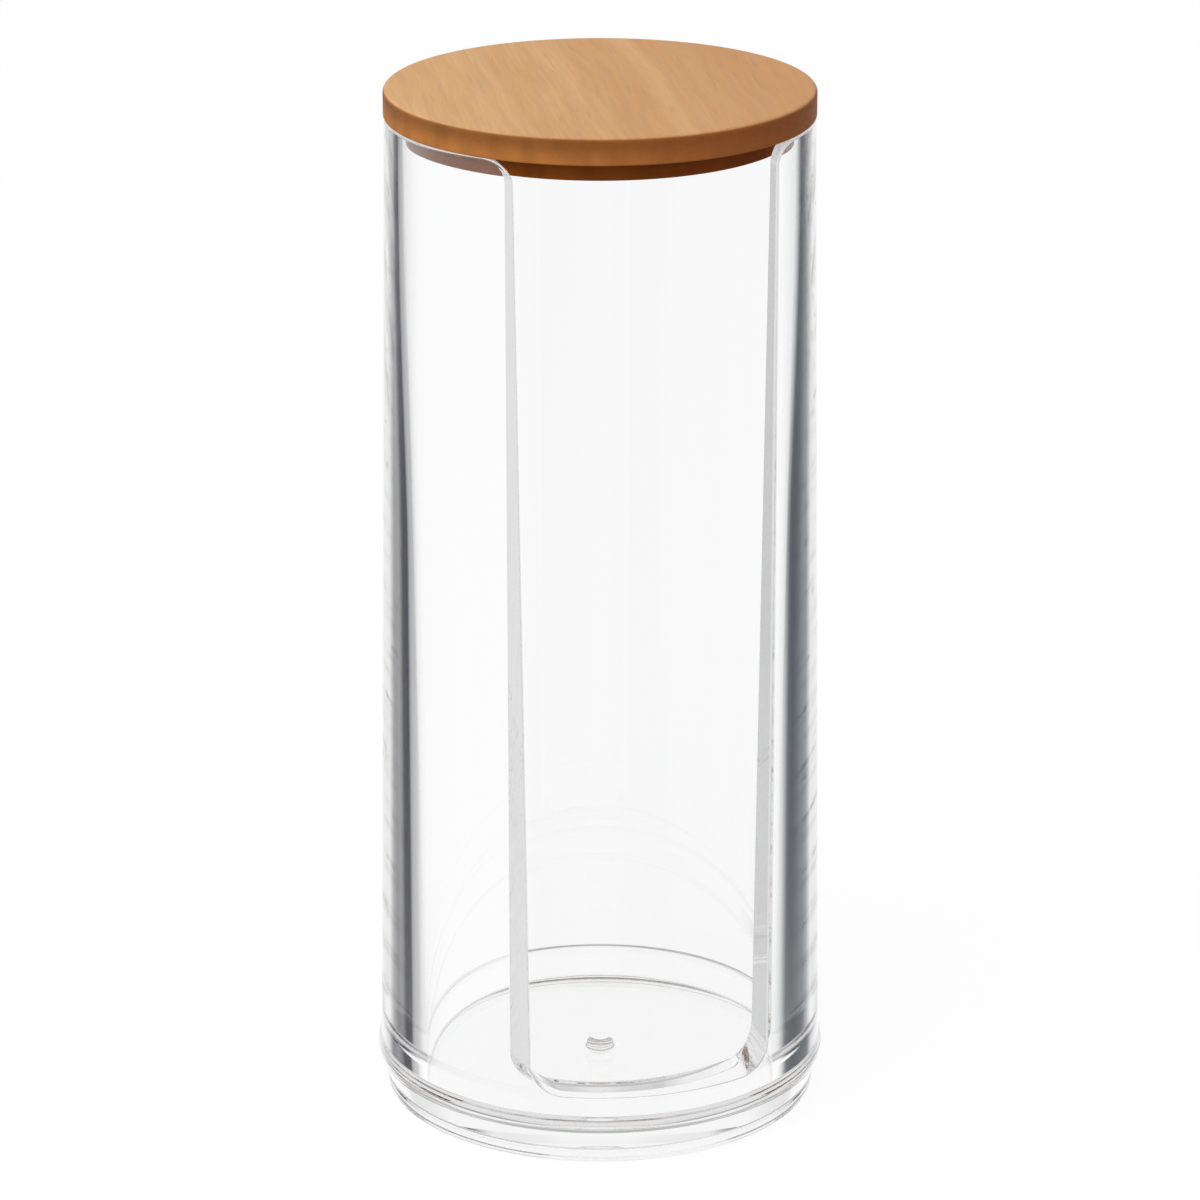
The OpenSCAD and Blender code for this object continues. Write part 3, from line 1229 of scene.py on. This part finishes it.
    def panels(self, bench: Bench, aim: bpy.types.NodeSocket) -> bpy.types.NodeSocket:
        """Brightness of the surroundings, as a reflection within one wall meets it.

        Formula: the direction's angle off the camera's view is wrapped at every half
        turn, so that the view from behind is the same, and is stretched or squeezed by
        the direction's rise. It is read from the ramp of dark panels and lit ones. The
        back, the places above the panels and the shade below are laid over it in turn.

        Args:
            bench: Bench of the world.
            aim: Direction into the world.

        Returns:
            The colour.
        """
        angle, off = self.off_view(bench, aim, HALF_TURN)
        rise = bench.parts(aim)[2]
        squeeze = bench.ranged(rise, *self.squeeze_rise, 1.0, self.squeeze)
        stretch = bench.ranged(rise, *self.stretch_rise, 1.0, self.stretch)
        place = bench.math("MULTIPLY", off, bench.math("MULTIPLY", squeeze, stretch))
        colour = self.panel_ramp(bench, bench.math("ADD", place, 0.5))
        back = bench.ranged(bench.math("COSINE", angle), *self.back_range, self.back_share, 0.0)
        colour = bench.mixed(back, colour, grey(self.upper_level))
        ahead = bench.ranged(bench.math("ABSOLUTE", off), *self.upper_off, 1.0, 0.0)
        above = bench.math("MULTIPLY", bench.ranged(rise, *self.upper_rise), ahead)
        above = bench.math("MAXIMUM", above, bench.ranged(rise, *self.sky_rise))
        colour = bench.mixed(above, colour, grey(self.upper_level))
        below = bench.ranged(rise, *self.lower_rise, self.lower_share, 0.0)
        return bench.mixed(below, colour, grey(self.lower_level))

    def face_reflection(self, bench: Bench, aim: bpy.types.NodeSocket) -> bpy.types.NodeSocket:
        """Brightness that a reflection off the outside of the plastic meets.

        Formula: by the direction's angle off the camera's view, it is light ahead, dark
        to both sides of that, and light from there on.

        Args:
            bench: Bench of the world.
            aim: Direction into the world.

        Returns:
            The level.
        """
        off = bench.math("ABSOLUTE", self.off_view(bench, aim, 2 * HALF_TURN)[1])
        ahead = bench.ranged(off, *self.face_start, 1.0, self.face_dark)
        beyond = bench.ranged(off, *self.face_end, self.face_dark, self.open_level)
        return bench.math("MAXIMUM", ahead, beyond)

    def fill_light(self, bench: Bench, aim: bpy.types.NodeSocket) -> bpy.types.NodeSocket:
        """Level of the world as it lights a matt surface, which changes from left to right.

        Args:
            bench: Bench of the world.
            aim: Direction into the world.

        Returns:
            The colour.
        """
        inputs = {"Vector": aim, "Angle": -self.camera_turn}
        seen = bench.node("VectorRotate", inputs, rotation_type="Z_AXIS").outputs[0]
        lean = bench.math("MULTIPLY", bench.parts(seen)[0], self.fill_lean)
        return bench.even_grey(bench.math("ADD", lean, self.fill))

    def make_world(self) -> None:
        """Makes the world.

        A straight view sees white. A reflection within one wall meets the panels, one off
        the outside or from further inside meets a plain level, and so does a ray that has
        been led along a wall. A matt surface is lit by the fill.
        """
        world = bpy.data.worlds.new("soft_studio")
        bpy.context.scene.world = world
        world.use_nodes = True
        bench = Bench(world.node_tree)
        rays = Rays(bench)
        aim = bench.node("TexCoord").outputs["Generated"]
        level = bench.chosen(rays.entered, self.face_reflection(bench, aim), self.open_level)
        panels = self.panels(bench, aim)
        reflected = bench.mixed(rays.not_one_wall, panels, bench.even_grey(level))
        deep = bench.ranged(rays.reflections, *self.deep_bounces)
        reflected = bench.mixed(deep, reflected, grey(self.deep_level))
        colour = bench.mixed(rays.reflected, WHITE, reflected)
        colour = bench.mixed(rays.diffuse, colour, self.fill_light(bench, aim))
        light = bench.node("Background", {"Color": colour, "Strength": 1.0})
        bench.node("OutputWorld", {"Surface": light.outputs[0]})


@dataclass
class Studio:
    """Pale floor, soft light from above and the photograph's camera. Sizes in metres.

    A straight view sees the white floor. A reflection passes through the floor and meets
    the surroundings.

    Attributes:
        camera_turn: Turn of the camera about the object, in radians.
        camera_away: Its distance from the object's axis.
        camera_height: Its height.
        camera_pitch: Angle by which it looks down, in radians.
        camera_clip: Nearest and furthest distance that it sees.
        focal_px: Focal length in pixels of the photograph.
        frame_px: Width of the photograph in pixels.
        sensor_mm: Width of the sensor.
        floor_half: Half the floor's width.
        floor_glow: Level that the floor adds to what the lamp gives it.
        floor_colour: Level of the floor's own colour, low so that its shadow is faint.
        one_wall_view: Share of the floor's glow that is seen through one wall.
        bounce_glow: The floor's glow as it lights a matt surface.
        key_watts: Power of the lamp.
        key_size: Width of the lamp.
        key_spot: Its place before the turn that it shares with the camera.
        bounces: How often a ray may be reflected or go through a face.
    """

    camera_turn: float = math.radians(-15.2)
    camera_away: float = 0.8021
    camera_height: float = 0.3671
    camera_pitch: float = math.radians(19.24)
    camera_clip: tuple[float, float] = (0.01, 100.0)
    focal_px: float = 5027.0
    frame_px: float = 1200.0
    sensor_mm: float = 36.0
    floor_half: float = 30.0
    floor_glow: float = 0.945
    floor_colour: float = 0.07
    one_wall_view: float = 0.955
    bounce_glow: float = 0.30
    key_watts: float = 7.5
    key_size: float = 0.9
    key_spot: tuple[float, float, float] = (-0.40, -0.50, 1.05)
    bounces: int = 90
    def place_camera(self) -> None:
        """Puts the camera at the photograph's angle, upright, with the lens for its frame."""
        data = bpy.data.cameras.new("photo_camera")
        data.sensor_width = self.sensor_mm
        data.lens = self.sensor_mm * self.focal_px / self.frame_px
        data.clip_start, data.clip_end = self.camera_clip
        camera = bpy.data.objects.new("photo_camera", data)
        bpy.context.scene.collection.objects.link(camera)
        turn = Matrix.Rotation(self.camera_turn, 4, "Z")
        tilt = Matrix.Rotation(QUARTER_TURN - self.camera_pitch, 4, "X")
        spot = Matrix.Translation(Vector((0.0, -self.camera_away, self.camera_height)))
        camera.matrix_world = turn @ spot @ tilt
        bpy.context.scene.camera = camera

    def lay_floor(self) -> None:
        """Lays the pale floor. It is lit, and glows just enough to look white."""
        half = self.floor_half
        corners = [(-half, -half, 0.0), (half, -half, 0.0), (half, half, 0.0), (-half, half, 0.0)]
        mesh = bpy.data.meshes.new("studio_floor")
        mesh.from_pydata(corners, [], [(0, 1, 2, 3)])
        floor = bpy.data.objects.new("studio_floor", mesh)
        bpy.context.scene.collection.objects.link(floor)
        material, bench = new_material("pale_floor")
        rays = Rays(bench)
        lit = bench.node("BsdfDiffuse", {"Color": grey(self.floor_colour)})
        level = bench.chosen(rays.diffuse, self.floor_glow, self.bounce_glow)
        seen = bench.chosen(rays.not_one_wall, self.one_wall_view, 1.0)
        level = bench.math("MULTIPLY", level, seen)
        glow = bench.node("Emission", {"Color": WHITE, "Strength": level})
        plain = bench.node("AddShader", {0: lit.outputs[0], 1: glow.outputs[0]})
        through = bench.node("BsdfTransparent")
        inputs = {0: rays.reflected, 1: plain.outputs[0], 2: through.outputs[0]}
        shader = bench.node("MixShader", inputs)
        bench.node("OutputMaterial", {"Surface": shader.outputs[0]})
        material.cycles.emission_sampling = "NONE"
        mesh.materials.append(material)

    def hang_light(self) -> None:
        """Hangs a wide soft lamp above the object, to the camera's left."""
        data = bpy.data.lights.new("top_softbox", "AREA")
        data.shape, data.size, data.energy = "SQUARE", self.key_size, self.key_watts
        lamp = bpy.data.objects.new("top_softbox", data)
        bpy.context.scene.collection.objects.link(lamp)
        spot = Matrix.Rotation(self.camera_turn, 3, "Z") @ Vector(self.key_spot)
        facing = spot.to_track_quat("Z", "Y").to_matrix().to_4x4()
        lamp.matrix_world = Matrix.Translation(spot) @ facing
        lamp.visible_camera = lamp.visible_glossy = lamp.visible_transmission = False

    def build(self) -> None:
        """Sets up the camera, the surroundings, the floor and the lamp."""
        self.place_camera()
        Surroundings(self.camera_turn).make_world()
        self.lay_floor()
        self.hang_light()
        scene = bpy.context.scene
        scene.view_settings.view_transform = "Standard"
        scene.cycles.max_bounces = scene.cycles.glossy_bounces = self.bounces
        scene.cycles.transmission_bounces = self.bounces


def clear_startup() -> None:
    """Removes what a new Blender file holds."""
    for name in STARTUP_OBJECTS:
        found = bpy.data.objects.get(name)
        if found is not None:
            bpy.data.objects.remove(found)


def main() -> None:
    """Builds the studio and the pieces in order."""
    logging.basicConfig(level=logging.INFO, format="%(name)s: %(message)s")
    clear_startup()
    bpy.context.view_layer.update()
    Studio().build()
    shell = ContainerShell()
    shell.build(ClearPlastic().make())
    lid = Lid(shell.rim_z, shell.rim_r, shell.bore_at(shell.rim_z))
    lid.build(BOARD_WOOD.make(), PLUG_WOOD.make())


if __name__ == "__main__":
    main()
